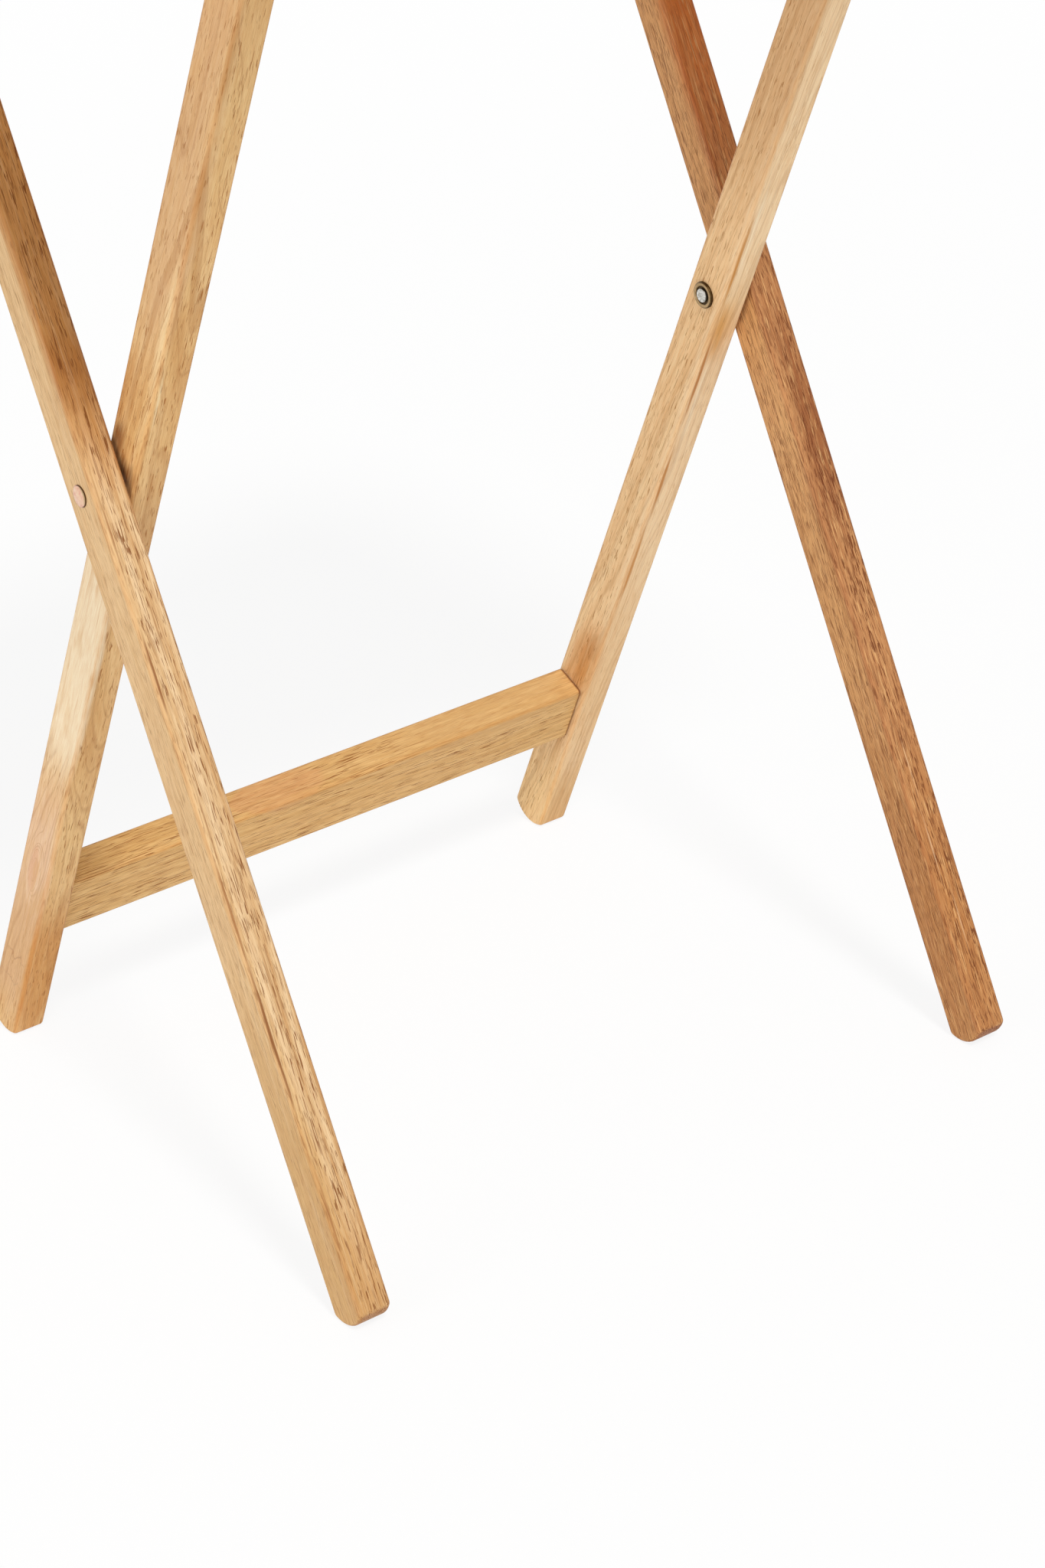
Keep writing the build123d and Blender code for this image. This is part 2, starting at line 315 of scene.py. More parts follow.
def near(n, place, middle, size, sharp=0.0):
    """1 at a place in the piece, falling to 0 over the given sizes; sharp moves the fall to the rim."""
    away = n.vector("DIVIDE", n.vector("SUBTRACT", place, middle), size)
    return n.step(n.vector("LENGTH", away), sharp, 1.0, 1.0, 0.0)


def ring_radius(n, place, grain, wood):
    """The distance from the heart of the tree, with the rings' wander and their swell at pin knots."""
    warp = wood.warp * RING_WARP
    wander = n.vector("MULTIPLY", n.wander(grain, across=0.030, along=0.16), (warp, warp, 0.0))
    from_heart = n.vector("SUBTRACT", n.vector("ADD", place, wander), (*wood.heart, 0.0))
    radius = n.vector("LENGTH", n.vector("MULTIPLY", from_heart, (1.0, 1.0, 0.0)))
    for eye in wood.eyes:
        swell = n.math("MULTIPLY", near(n, place, eye.place, eye.size), eye.lift)
        radius = n.math("ADD", radius, swell)
    rise = n.math("MULTIPLY", n.split(place)[2], wood.taper)
    return n.math("ADD", n.math("ADD", radius, rise), wood.seed)


def ring_lines(n, radius):
    """Thin lines where the growth of one season ends."""
    season = n.line_noise(radius, size=0.0042, detail=1.0)
    return n.step(n.math("ABSOLUTE", n.math("SUBTRACT", season, 0.5)), 0.0, 0.055, 1.0, 0.0)


def crowding(n, grain):
    """Where the pores stand close together: long bands, a few millimetres wide."""
    return n.step(n.noise(grain, across=0.0034, along=0.11), 0.36, 0.64)


def vessel_dashes(n, grain, share, crowd, length):
    """Open pores cut lengthwise: thin dark dashes, more where they crowd, some deeper than others."""
    field = n.noise(grain, across=0.00055, along=length, detail=1.0)
    bar = n.math("SUBTRACT", DASH_BAR - DASH_GAIN * share, n.math("MULTIPLY", crowd, DASH_CROWD))
    depth = n.step(n.noise(grain, across=0.0021, along=0.016, detail=1.0), 0.34, 0.62, 0.45, 1.0)
    return n.math("MULTIPLY", n.step(n.math("SUBTRACT", field, bar), 0.0, 0.050), depth)


def bold_dashes(n, grain, share, crowd):
    """The few wide pores among them."""
    field = n.noise(grain, across=0.00075, along=0.0115, detail=1.0)
    bar = n.math("SUBTRACT", BOLD_BAR - BOLD_GAIN * share, n.math("MULTIPLY", crowd, BOLD_CROWD))
    return n.step(n.math("SUBTRACT", field, bar), 0.0, 0.06)


def fine_lines(n, grain):
    """Thin long lines of small pores and rays."""
    return n.step(n.noise(grain, across=0.00036, along=0.019), 0.52, 0.70)


def end_grain(n, directions):
    """1 on the faces sawn across the grain."""
    facing = n.vector("DOT_PRODUCT", n.add("TexCoord").outputs["Normal"], directions.col[2])
    return n.step(n.math("ABSOLUTE", facing), 0.50, 0.85)


def arris(n, place, half):
    """1 along the long edges of a square-sawn piece."""
    x, y, _ = n.split(n.vector("ABSOLUTE", place))
    side = n.step(x, half[0] - ARRIS_WIDTH, half[0] - ARRIS_CORE)
    edge = n.step(y, half[1] - ARRIS_WIDTH, half[1] - ARRIS_CORE)
    return n.math("MULTIPLY", side, edge)


def end_seam(n, place, half):
    """1 along the line where the ends of a piece meet its neighbours."""
    along = n.math("ABSOLUTE", n.split(place)[2])
    return n.step(along, half[2] - SEAM_WIDTH, half[2] - SEAM_CORE)


def sapwood(n, place, grain, half, wood):
    """1 in the paler outer wood on one side of the stave."""
    toward = n.vector("DOT_PRODUCT", place, wood.sap_side)
    reach = max(abs(half[i] * wood.sap_side[i]) for i in range(3))
    wander = n.math("MULTIPLY", n.noise(grain, across=0.006, along=0.08), wood.sap_depth)
    return n.step(n.math("ADD", toward, wander), reach - wood.sap_depth, reach + 0.2 * wood.sap_depth)


def patch_share(n, place, grain, patch, wander):
    """How much of a patch's colour shows at a place, with a ragged edge along the grain."""
    ragged = n.wander(grain, across=0.004, along=0.03)
    moved = n.vector("ADD", place, n.vector("MULTIPLY", ragged, (wander, wander, ALONG_WANDER)))
    return n.math("MULTIPLY", near(n, moved, patch.place, patch.size, patch.sharp), patch.share)


def ring_bands(n, wood, radius):
    """Bands of pale, honey and deep wood that follow the rings."""
    bands = n.step(n.line_noise(radius, wood.band, detail=3.0), 0.28, 0.74)
    return n.ramp(bands, [(0.0, wood.pale), (0.5, wood.honey), (1.0, wood.deep)])


def stave_tones(n, wood, tone, colour):
    """Staves of one board, some paler and some deeper than the others."""
    colour = n.mix(n.step(tone, 0.1, 0.5, TONE_SHARE, 0.0), colour, wood.pale)
    return n.mix(n.step(tone, 0.5, 0.9, 0.0, TONE_SHARE), colour, wood.deep)


def stains_and_painted_light(n, wood, place, grain, half, colour):
    """Sapwood, stained and pale places, painted shade and painted light, and the share of the pores that
    they leave.
    """
    kept = 1.0
    if wood.sap:
        sap = sapwood(n, place, grain, half, wood)
        colour = n.mix(n.math("MULTIPLY", sap, SAP_SHARE), colour, wood.sap)
        kept = n.step(sap, 0.0, 1.0, 1.0, wood.sap_dashes)
    for patch in wood.patches:
        share = patch_share(n, place, grain, patch, PATCH_WANDER)
        colour = n.mix(share, colour, patch.colour)
        if patch.calm:
            kept = n.math("MULTIPLY", kept, n.step(share, 0.0, patch.share, 1.0, 1.0 - patch.calm))
    return colour, kept


def streaks(n, wood, grain, fibre, colour):
    """Streaks, mottle, fibre and pale flecks along the grain."""
    streak = n.noise(grain, across=0.0021, along=0.075, detail=3.0)
    mottle = n.noise(grain, across=0.0080, along=0.024)
    colour = n.mix(n.step(streak, 0.30, 0.52, PALE_SHARE, 0.0), colour, wood.pale)
    colour = n.mix(n.step(streak, 0.50, 0.74, 0.0, wood.streak), colour, wood.deep)
    colour = n.mix(n.step(mottle, 0.50, 0.74, 0.0, wood.mottle), colour, wood.deep)
    colour = n.mix(n.step(fibre, 0.36, 0.70, 0.0, FIBRE_SHARE), colour, wood.deep, "MULTIPLY")
    if wood.flecks:
        fleck = n.noise(grain, across=0.0009, along=0.016, detail=1.0)
        colour = n.mix(n.step(fleck, 0.60, 0.70, 0.0, wood.flecks), colour, wood.pale)
    return colour


def season_lines(n, wood, radius, kept, colour):
    """The lines of the growth rings, left out where there are no pores."""
    share = n.step(kept, 0.05, 0.25, 0.0, wood.rings)
    return n.mix(n.math("MULTIPLY", ring_lines(n, radius), share), colour, wood.pore)


def open_pores(n, wood, grain, kept):
    """The coarse pores, which are cut into the surface, and all the pores with the fine lines."""
    crowd = crowding(n, grain)
    ticks = vessel_dashes(n, grain, wood.dashes, crowd, wood.dash_length)
    bold = bold_dashes(n, grain, wood.dashes, crowd)
    coarse = n.math("MULTIPLY", n.math("MAXIMUM", ticks, bold), kept)
    fine = n.math("MULTIPLY", n.math("MULTIPLY", fine_lines(n, grain), wood.fine), kept)
    return coarse, n.math("MAXIMUM", coarse, fine)


def edges(n, wood, place, half, directions, colour):
    """Darker end grain, long edges darkened as painted shade, and the seam at a joined end."""
    ends = n.math("MULTIPLY", end_grain(n, directions), END_SHARE)
    colour = n.mix(ends, colour, wood.deep, "MULTIPLY")
    # Painted shade: the long edges are darkened against the light on their rounding
    arris_shade = n.math("MULTIPLY", arris(n, place, half), ARRIS_SHADE_SHARE)
    colour = n.mix(arris_shade, colour, wood.deep, "MULTIPLY")
    if wood.seam:
        seam = n.math("MULTIPLY", end_seam(n, place, half), wood.seam)
        colour = n.mix(seam, colour, wood.pore, "MULTIPLY")
    return colour


def wood_material(name, wood, node, directions):
    """Oiled rubberwood for one piece: ring bands, stained places, painted shade and light, streaks, pores,
    end grain and edges darkened as painted shade.
    """
    n = Nodes(name)
    centre, half = local_box(node, directions)
    place = piece_place(n, centre, directions)
    grain = grain_place(n, place, wood)
    radius = ring_radius(n, place, grain, wood)
    if wood.staves:
        grain, glue, tone = stave_places(n, place, grain, wood.staves)
        radius = n.math("ADD", radius, n.math("MULTIPLY", tone, STAVE_RINGS))

    colour = ring_bands(n, wood, radius)
    if wood.staves:
        colour = stave_tones(n, wood, tone, colour)
    colour, kept = stains_and_painted_light(n, wood, place, grain, half, colour)
    fibre = n.noise(grain, across=0.00026, along=0.0090)
    colour = streaks(n, wood, grain, fibre, colour)
    if wood.rings:
        colour = season_lines(n, wood, radius, kept, colour)
    coarse, pores = open_pores(n, wood, grain, kept)
    colour = n.mix(n.math("MULTIPLY", pores, PORE_SHARE), colour, wood.pore)
    for stroke in wood.strokes:
        colour = n.mix(patch_share(n, place, grain, stroke, STROKE_WANDER), colour, stroke.colour)
    colour = edges(n, wood, place, half, directions, colour)
    relief = n.math("SUBTRACT", n.math("MULTIPLY", fibre, FIBRE_RELIEF), coarse)
    if wood.staves:
        colour = n.mix(n.math("MULTIPLY", glue, GLUE_SHARE), colour, wood.pore)
        relief = n.math("SUBTRACT", relief, glue)

    n.put(n.shader.inputs["Base Color"], colour)
    rough = n.step(n.noise(grain, across=0.010, along=0.05, detail=3.0), *NOISE_SPREAD, 0.42, 0.54)
    rough = n.math("ADD", rough, n.math("MULTIPLY", pores, PORE_ROUGHNESS))
    n.put(n.shader.inputs["Roughness"], rough)
    n.shader.inputs["Specular IOR Level"].default_value = WOOD_SPECULAR
    n.bump(relief, WOOD_RELIEF)
    return n.material


def from_axis(n):
    """A place from the rivets' common axis, its distance from it and from the middle of the table."""
    place = n.vector("SUBTRACT", n.add("TexCoord").outputs["Object"], PIVOT)
    radius = n.vector("LENGTH", n.vector("MULTIPLY", place, (0.0, 1.0, 1.0)))
    return place, radius, n.math("ABSOLUTE", n.split(place)[0])


def clouds(n, place, size):
    """Soft clouds of one size in all directions."""
    return n.noise(place, across=size, along=size, detail=3.0)


def metal(n, colour, roughness, relief, depth):
    """Bare metal of the given colour, roughness and relief."""
    n.put(n.shader.inputs["Base Color"], colour)
    n.shader.inputs["Metallic"].default_value = 1.0
    n.put(n.shader.inputs["Roughness"], roughness)
    n.bump(relief, depth)
    return n.material


def rivet_head(n, place, radius, cloud):
    """Copper-tinted brass, with an olive crescent and a dark rim along one side of the head, which are
    painted shade.
    """
    colour = n.mix(n.step(cloud, *CLOUDED), (238, 202, 172), (226, 172, 148))
    # Painted shade: the olive crescent and the dark rim on one side of the head
    toward_front = n.vector("DOT_PRODUCT", place, (0.0, -0.92, 0.40))
    front = n.step(toward_front, 0.0016, 0.0040, 0.0, 0.60)
    colour = n.mix(n.math("MULTIPLY", n.step(radius, *OLIVE_RING), front), colour, (164, 150, 92))
    front = n.step(toward_front, -0.0012, 0.0012, 0.15, 0.92)
    return n.mix(n.math("MULTIPLY", n.step(radius, *HEAD_RIM), front), colour, (78, 48, 22))


def rivet_brass():
    """Brass on the rivet's head, pale peened metal on its tail, each with painted shade at its rim."""
    n = Nodes("rivet_brass")
    place, radius, out = from_axis(n)
    cloud = clouds(n, place, 0.0022)
    head = rivet_head(n, place, radius, cloud)
    peened = n.noise(place, across=0.0012, along=0.0012)
    tail = n.mix(n.step(peened, 0.34, 0.60), (172, 170, 162), (222, 220, 213))
    # Painted shade: a dark ring round the rim of the tail
    tail = n.mix(n.step(radius, *TAIL_RIM, 0.0, 0.8), tail, (62, 54, 44))
    colour = n.mix(n.step(out, *TAIL_TO_HEAD), tail, head)
    return metal(n, colour, n.step(cloud, *NOISE_SPREAD, 0.26, 0.38), peened, RIVET_RELIEF)


def washer_bronze():
    """Antique bronze: dark in the dish and at the edge, partly patina and partly painted shade; worn lighter
    on the crown of the rim.
    """
    n = Nodes("washer_bronze")
    place, radius, _ = from_axis(n)
    cloud = clouds(n, place, 0.0014)
    crown = n.math("MULTIPLY", n.step(radius, *CROWN_INNER), n.step(radius, *CROWN_OUTER, 1.0, 0.0))
    # Dark in the dish and at the edge: partly patina, partly painted shade
    dark = n.mix(n.step(cloud, *CLOUDED), (68, 51, 29), (94, 74, 46))
    light = n.mix(n.step(cloud, *CLOUDED), (160, 132, 94), (190, 162, 120))
    colour = n.mix(crown, dark, light)
    return metal(n, colour, n.step(cloud, *NOISE_SPREAD, 0.34, 0.48), cloud, WASHER_RELIEF)


def plated_steel(name, light, dark):
    """Zinc plate: a pale, slightly clouded grey with fine turning marks."""
    n = Nodes(name)
    place = n.add("TexCoord").outputs["Object"]
    marks = n.noise(place, across=0.0003, along=0.0020)
    colour = n.mix(n.step(clouds(n, place, 0.0030), *CLOUDED), dark, light)
    return metal(n, colour, n.step(marks, *NOISE_SPREAD, 0.28, 0.46), marks, STEEL_RELIEF)


# Directions of the pieces: thickness, then grain
UPRIGHT = Vector((0.0, math.sin(LEG_LEAN), math.cos(LEG_LEAN)))
OUTER_LEG = axes((1, 0, 0), UPRIGHT)
INNER_LEG = axes((1, 0, 0), UPRIGHT * Vector((1, -1, 1)))
STRETCHER = axes(INNER_LEG.col[1], (1, 0, 0))
BOARD = axes((0, 0, 1), (1, 0, 0))
CLEAT = axes((1, 0, 0), (0, 1, 0))

# The staves: three pale legs and a stretcher from like boards, one leg from the red heart of another tree.
# Patches are placed from the middle of the piece: through its thickness, over its width, along its grain
LEFT_OUTER = Wood(
    (236, 206, 162), (223, 187, 138), (206, 160, 106), pore=(130, 74, 26), seed=1.3, heart=(0.10, 0.05),
    streak=0.35, mottle=0.20, dashes=1.30, fine=0.55, flecks=0.12,
    sap=(232, 195, 142), sap_side=(-1.0, 0.0, 0.0), sap_dashes=0.50,
    patches=(
        # The next two patches: the browner top of the front face, partly browner wood and partly painted
        # shade under the tray
        Patch((0.0, -0.012, 0.20), (0.030, 0.008, 0.19), (206, 146, 78), 0.90, 0.6),
        Patch((0.0, -0.012, 0.085), (0.030, 0.008, 0.024), (182, 118, 54), 0.70),
        Patch((-0.009, 0.0, -0.31), (0.012, 0.030, 0.14), (214, 172, 112), 0.90, 0.3),
        Patch((0.0, -0.012, -0.34), (0.030, 0.012, 0.08), (204, 156, 98), 0.85),
    ),
    strokes=(
        Patch((-0.0062, -0.0115, 0.012), (0.0008, 0.0030, 0.024), (146, 88, 42), 0.70),
        Patch((-0.0070, -0.0115, -0.050), (0.0010, 0.0030, 0.026), (134, 76, 30), 0.85, 0.2),
        Patch((-0.0055, -0.0115, -0.120), (0.0007, 0.0030, 0.026), (150, 94, 46), 0.65),
        Patch((-0.0072, -0.0112, -0.160), (0.0009, 0.0030, 0.030), (150, 92, 40), 0.75, 0.3),
        Patch((-0.0074, -0.0112, -0.215), (0.0010, 0.0030, 0.046), (132, 76, 28), 0.88, 0.3),
        Patch((-0.0072, -0.0112, -0.305), (0.0008, 0.0030, 0.030), (148, 92, 46), 0.65),
        Patch((0.0010, -0.0115, -0.030), (0.0007, 0.0030, 0.020), (152, 98, 50), 0.60),
        Patch((0.0005, -0.0115, -0.205), (0.0007, 0.0030, 0.022), (150, 96, 48), 0.60),
    ),
)
# The two darkest patches beside its crossing are painted shadow of the outer leg
LEFT_INNER = Wood(
    (242, 204, 146), (235, 192, 130), (222, 174, 112), pore=(168, 104, 44), seed=2.9,
    heart=(0.007, 0.012), taper=-0.05, rings=0.30, dashes=0.60, fine=0.3,
    patches=(
        Patch((-0.009, 0.0, -0.070), (0.005, 0.040, 0.105), (252, 234, 200), 0.95, 0.5, 0.95),
        Patch((-0.009, 0.0, -0.215), (0.004, 0.040, 0.080), (236, 200, 164), 0.90, 0.3, 0.72),
        Patch((-0.009, 0.0, -0.280), (0.004, 0.040, 0.070), (220, 178, 132), 0.80, 0.4, 0.50),
        Patch((-0.009, 0.0, 0.230), (0.008, 0.040, 0.140), (226, 185, 137), 0.80, 0.5, 0.15),
        Patch((-0.009, 0.010, 0.098), (0.006, 0.016, 0.034), (202, 142, 80), 0.80),
        # Painted shadow of the outer leg beside the crossing
        Patch((-0.009, -0.004, 0.0505), (0.006, 0.010, 0.0115), (104, 52, 14), 0.92, 0.2),
        Patch((-0.009, 0.007, 0.063), (0.006, 0.009, 0.016), (116, 62, 22), 0.90, 0.1),
        Patch((-0.009, 0.011, 0.078), (0.006, 0.005, 0.018), (176, 112, 54), 0.70),
        Patch((-0.0085, -0.0085, 0.140), (0.004, 0.0045, 0.050), (254, 226, 174), 0.80, 0.2, 0.5),
        Patch((0.0, -0.012, -0.185), (0.030, 0.005, 0.065), (244, 208, 148), 0.70),
        Patch((0.0, -0.012, -0.295), (0.030, 0.005, 0.065), (214, 152, 78), 0.85, 0.4),
        Patch((-0.009, 0.000, -0.226), (0.004, 0.0070, 0.025), (250, 220, 186), 0.50, 0.55),
        Patch((-0.009, 0.001, -0.223), (0.004, 0.0048, 0.019), (228, 178, 140), 0.75, 0.55),
        Patch((0.0, -0.012, 0.260), (0.030, 0.008, 0.080), (246, 210, 150), 0.55),
    ),
    eyes=(Eye((-0.009, 0.001, -0.223), (0.010, 0.008, 0.032), 0.010),),
    strokes=(
        Patch((-0.0076, -0.0108, 0.285), (0.0024, 0.0024, 0.040), (192, 134, 68), 0.65),
        Patch((-0.0074, -0.0108, 0.215), (0.0020, 0.0024, 0.045), (196, 138, 72), 0.70),
        Patch((-0.0066, -0.0112, 0.155), (0.0012, 0.0024, 0.030), (190, 130, 64), 0.65),
        Patch((-0.0060, -0.0112, 0.100), (0.0010, 0.0024, 0.030), (252, 228, 180), 0.65),
        Patch((-0.0087, -0.0020, 0.235), (0.0020, 0.0008, 0.030), (196, 142, 98), 0.55),
        Patch((-0.0087, 0.0, -0.288), (0.0030, 0.014, 0.0011), (170, 116, 74), 0.55),
        Patch((-0.0087, 0.0, -0.306), (0.0030, 0.014, 0.0010), (176, 124, 82), 0.50),
    ),
)
RIGHT_INNER = Wood(
    (250, 220, 172), (246, 210, 160), (232, 190, 136), pore=(176, 120, 62), seed=4.7,
    heart=(0.010, -0.020), taper=0.06, rings=0.25, streak=0.40, mottle=0.25, dashes=0.45, fine=0.40,
    sap=(250, 222, 180), sap_side=(0.0, -1.0, 0.0), sap_dashes=0.45,
    patches=(
        Patch((-0.009, -0.004, -0.214), (0.008, 0.015, 0.036), (212, 144, 72), 0.90, 0.2),
        Patch((-0.0030, -0.0115, 0.085), (0.0026, 0.003, 0.065), (255, 234, 198), 0.80),
        Patch((-0.0025, -0.0115, -0.030), (0.0024, 0.003, 0.055), (255, 234, 198), 0.75),
        Patch((-0.0030, -0.0115, 0.026), (0.0095, 0.004, 0.026), (226, 170, 92), 0.90),
        Patch((0.0, -0.012, -0.230), (0.030, 0.008, 0.130), (238, 200, 148), 0.80),
        Patch((0.0, -0.012, -0.340), (0.030, 0.008, 0.060), (220, 176, 118), 0.90, 0.3),
        # Painted light: a paler place below the stretcher, lifting its shadow
        Patch((-0.009, 0.0, -0.325), (0.008, 0.040, 0.060), (255, 220, 162), 0.85),
        Patch((-0.009, 0.0, 0.230), (0.006, 0.040, 0.170), (216, 176, 128), 0.75, 0.4),
    ),
    strokes=(
        Patch((-0.0066, -0.0115, 0.070), (0.0015, 0.0030, 0.040), (200, 132, 48), 0.85, 0.3),
        Patch((-0.0062, -0.0115, -0.002), (0.0014, 0.0030, 0.042), (186, 116, 36), 0.90, 0.3),
        Patch((-0.0064, -0.0115, -0.075), (0.0013, 0.0030, 0.034), (192, 122, 40), 0.90, 0.3),
        Patch((-0.0068, -0.0115, -0.135), (0.0012, 0.0030, 0.034), (196, 130, 52), 0.85, 0.3),
        Patch((-0.0036, -0.0115, 0.092), (0.0010, 0.0030, 0.050), (255, 236, 202), 0.60),
        Patch((-0.0030, -0.0115, -0.020), (0.0009, 0.0030, 0.045), (255, 236, 202), 0.60),
    ),
)
RIGHT_OUTER = Wood(
    (232, 182, 122), (219, 165, 104), (186, 128, 72), pore=(108, 52, 16), seed=6.1, heart=(0.05, 0.09),
    streak=0.30, mottle=0.20, dashes=2.0, dash_length=0.0062, fine=0.60, flecks=0.60,
    patches=(
        Patch((-0.009, 0.0, 0.0), (0.006, 0.050, 0.80), (222, 168, 114), 0.35, 0.5, 0.25),
        Patch((0.0, -0.0115, 0.0), (0.040, 0.0045, 0.80), (190, 132, 84), 0.80, 0.4),
        # The browner top of the front face: partly browner wood, partly painted shade under the tray
        Patch((0.0, -0.012, 0.170), (0.030, 0.012, 0.150), (214, 118, 42), 0.90, 0.0, 0.60),
        Patch((0.002, -0.012, -0.040), (0.016, 0.006, 0.090), (150, 88, 46), 0.85, 0.2),
        Patch((-0.009, 0.0, -0.030), (0.008, 0.040, 0.070), (240, 186, 126), 0.60),
        Patch((0.0, 0.004, -0.290), (0.030, 0.030, 0.150), (188, 126, 66), 0.80, 0.3),
    ),
    strokes=(
        Patch((-0.0020, -0.0115, -0.215), (0.0006, 0.0030, 0.020), (232, 186, 140), 0.70),
        Patch((-0.0030, -0.0115, -0.255), (0.0006, 0.0030, 0.024), (234, 190, 146), 0.70),
        Patch((0.0005, -0.0115, -0.295), (0.0006, 0.0030, 0.022), (232, 186, 140), 0.65),
    ),
)
LOWER = Wood(
    (240, 202, 140), (231, 189, 123), (214, 168, 102), pore=(146, 88, 34), seed=8.2, heart=(0.02, 0.08),
    streak=0.40, mottle=0.25, dashes=0.92, dash_length=0.014, fine=0.70, flecks=0.25, seam=0.80,
    patches=(
        Patch((0.0, 0.018, 0.0), (0.030, 0.006, 0.30), (204, 162, 104), 0.55),
        Patch((0.0, 0.018, -0.03), (0.012, 0.010, 0.03), (216, 164, 110), 0.80, 0.85, 0.40),
        Patch((0.0, 0.018, 0.105), (0.030, 0.012, 0.085), (206, 164, 108), 0.55, 0.3, 0.75),
        Patch((-0.0095, 0.0, 0.0), (0.006, 0.030, 0.30), (234, 190, 124), 0.65),
        # Painted light: the back face, which lies in the key lamp's shade, is made paler and warmer
        Patch((0.0095, 0.0, 0.0), (0.006, 0.030, 0.30), (246, 208, 152), 0.65),
    ),
)
TRAY = Wood(
    (242, 212, 166), (231, 196, 146), (210, 166, 114), pore=(164, 116, 64), seed=9.6, heart=(0.10, 0.02),
    dashes=0.6, staves=0.050,
)
DOWEL = Wood((228, 196, 150), (218, 182, 134), (194, 152, 102), seed=11.4, dashes=0.5)
CLEAT_WOOD = Wood((224, 188, 136), (214, 172, 118), (188, 142, 90), seed=13.8)
PEG = Wood((228, 200, 156), (218, 188, 142), (198, 162, 114), seed=15.2, dashes=0.3)

WOODEN = [
    ("outer_leg_left", LEFT_OUTER, OUTER_LEG),
    ("inner_leg_left", LEFT_INNER, INNER_LEG),
    ("inner_leg_right", RIGHT_INNER, INNER_LEG),
    ("outer_leg_right", RIGHT_OUTER, OUTER_LEG),
    ("lower_stretcher", LOWER, STRETCHER),
    ("tray_top", TRAY, BOARD),
    ("hinge_rod", DOWEL, BOARD),
    ("lock_bar", DOWEL, BOARD),
    ("cleat_left", CLEAT_WOOD, CLEAT),
    ("cleat_right", CLEAT_WOOD, CLEAT),
    ("stretcher_pegs_left", PEG, BOARD),
    ("stretcher_pegs_right", PEG, BOARD),
]


def finish_nodes():
    """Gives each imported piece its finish."""
    for node, wood, directions in WOODEN:
        frame["nodes"][node].material_slots[0].material = wood_material(node, wood, node, directions)
    metals = {
        "pivot_rivet": rivet_brass(),
        "tail_washer": washer_bronze(),
        "spacer_washer": plated_steel("spacer_steel", (196, 196, 192), (168, 168, 164)),
        "cleat_screws": plated_steel("screw_steel", (206, 206, 200), (178, 178, 172)),
    }
    for kind, finish in metals.items():
        for side in ("left", "right"):
            frame["nodes"][f"{kind}_{side}"].material_slots[0].material = finish


def seen_directly(tree):
    """1 for the rays that show the background itself: to the camera, in a reflection, through glass."""
    path = tree.nodes.new("ShaderNodeLightPath")
    shown = path.outputs["Is Camera Ray"]
    for name in ("Is Glossy Ray", "Is Transmission Ray"):
        node = tree.nodes.new("ShaderNodeMath")
        node.operation = "MAXIMUM"
        tree.links.new(shown, node.inputs[0])
        tree.links.new(path.outputs[name], node.inputs[1])
        shown = node.outputs[0]
    return shown


def white_floor():
    """A wide pale floor that fades to white and keeps the table's shadow."""
    mesh = bpy.data.meshes.new("floor")
    h = FLOOR_HALF
    mesh.from_pydata([(-h, -h, 0), (h, -h, 0), (h, h, 0), (-h, h, 0)], [], [(0, 1, 2, 3)])
    floor = bpy.data.objects.new("floor", mesh)
    bpy.context.scene.collection.objects.link(floor)
    n = Nodes("floor")
    n.shader.inputs["Base Color"].default_value = linear(FLOOR_COLOUR)
    n.shader.inputs["Roughness"].default_value = 1.0
    n.shader.inputs["Specular IOR Level"].default_value = 0.0
    glow = n.add("Emission")
    blend = n.add("MixShader")
    away = n.vector("LENGTH", n.add("TexCoord").outputs["Object"])
    share = n.step(away, FLOOR_FADE_FROM, FLOOR_FADE_TO, FLOOR_GLOW, 1.0)
    n.put(blend.inputs[0], n.math("MULTIPLY", seen_directly(n.tree), share))
    n.put(blend.inputs[1], n.shader.outputs[0])
    n.put(blend.inputs[2], glow.outputs[0])
    n.put(n.tree.nodes["Material Output"].inputs["Surface"], blend.outputs[0])
    mesh.materials.append(n.material)


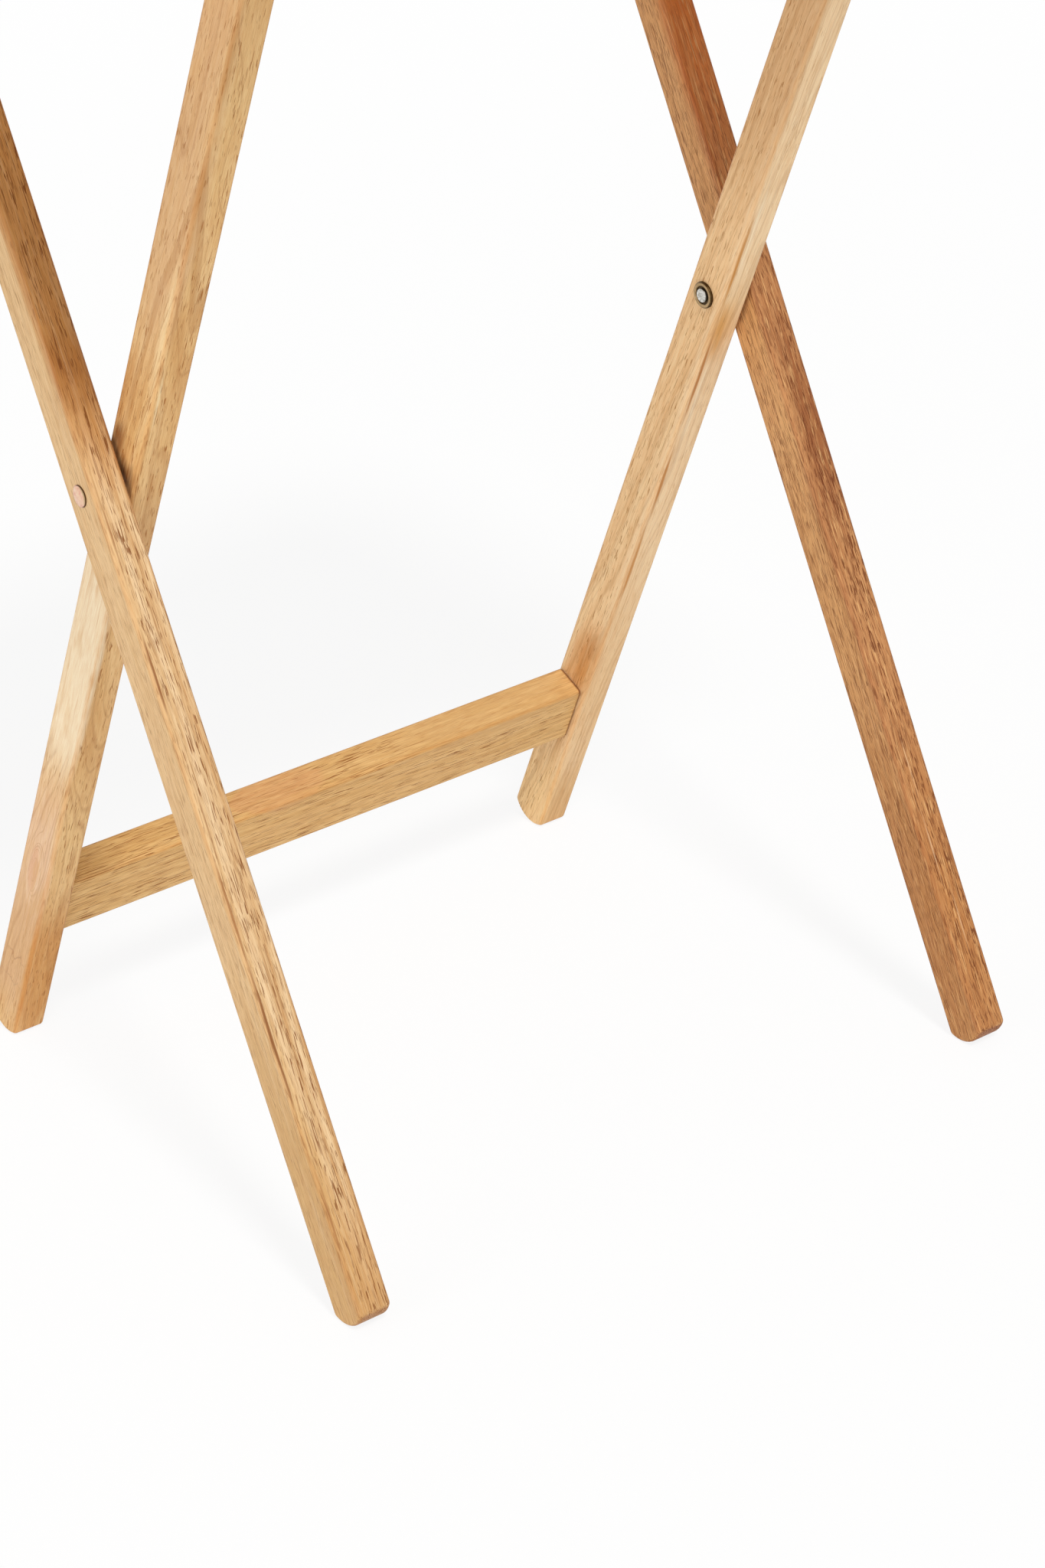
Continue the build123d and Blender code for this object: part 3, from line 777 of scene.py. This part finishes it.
def white_sky():
    """Even light from all round, seen as plain white."""
    world = bpy.data.worlds.new("studio")
    bpy.context.scene.world = world
    world.use_nodes = True
    tree = world.node_tree
    sky = tree.nodes["Background"]
    sky.inputs["Color"].default_value = linear(WHITE)
    level = tree.nodes.new("ShaderNodeMapRange")
    tree.links.new(seen_directly(tree), level.inputs["Value"])
    level.inputs["To Min"].default_value = SKY_LEVEL
    level.inputs["To Max"].default_value = 1.0
    tree.links.new(level.outputs[0], sky.inputs["Strength"])


def key_light():
    """A soft lamp far off in front, so high that the tray shades only the tops of the outer legs."""
    lamp = bpy.data.lights.new("key", "SUN")
    lamp.angle = KEY_ANGLE
    lamp.energy = KEY_STRENGTH
    key = bpy.data.objects.new("key", lamp)
    key.location = AIM + KEY_FROM * KEY_AWAY
    key.rotation_euler = (-KEY_FROM).to_track_quat("-Z", "Y").to_euler()
    bpy.context.scene.collection.objects.link(key)


def softbox(name, place, size, power):
    """A square lamp turned to the table."""
    lamp = bpy.data.lights.new(name, "AREA")
    lamp.size = size
    lamp.energy = power
    box = bpy.data.objects.new(name, lamp)
    box.location = place
    box.rotation_euler = (AIM - place).to_track_quat("-Z", "Y").to_euler()
    bpy.context.scene.collection.objects.link(box)


def studio_camera():
    """The camera at the viewing angle of the photograph."""
    forward = Vector((
        math.sin(CAMERA_YAW) * math.cos(CAMERA_PITCH),
        math.cos(CAMERA_YAW) * math.cos(CAMERA_PITCH),
        math.sin(CAMERA_PITCH),
    ))
    level = Vector((math.cos(CAMERA_YAW), -math.sin(CAMERA_YAW), 0.0))
    upward = level.cross(forward)
    right = level * math.cos(CAMERA_ROLL) + upward * math.sin(CAMERA_ROLL)
    up = upward * math.cos(CAMERA_ROLL) - level * math.sin(CAMERA_ROLL)
    lens = bpy.data.cameras.new("camera")
    lens.lens = CAMERA_LENS
    lens.sensor_width = CAMERA_SENSOR
    camera = bpy.data.objects.new("camera", lens)
    turn = Matrix((right, up, -forward)).transposed().to_4x4()
    camera.matrix_world = Matrix.Translation(CAMERA_PLACE) @ turn
    bpy.context.scene.collection.objects.link(camera)
    bpy.context.scene.camera = camera


finish_nodes()
white_floor()
white_sky()
key_light()
softbox("left", LEFT_PLACE, LEFT_SIZE, LEFT_POWER)
studio_camera()
bpy.context.scene.view_settings.view_transform = "Standard"
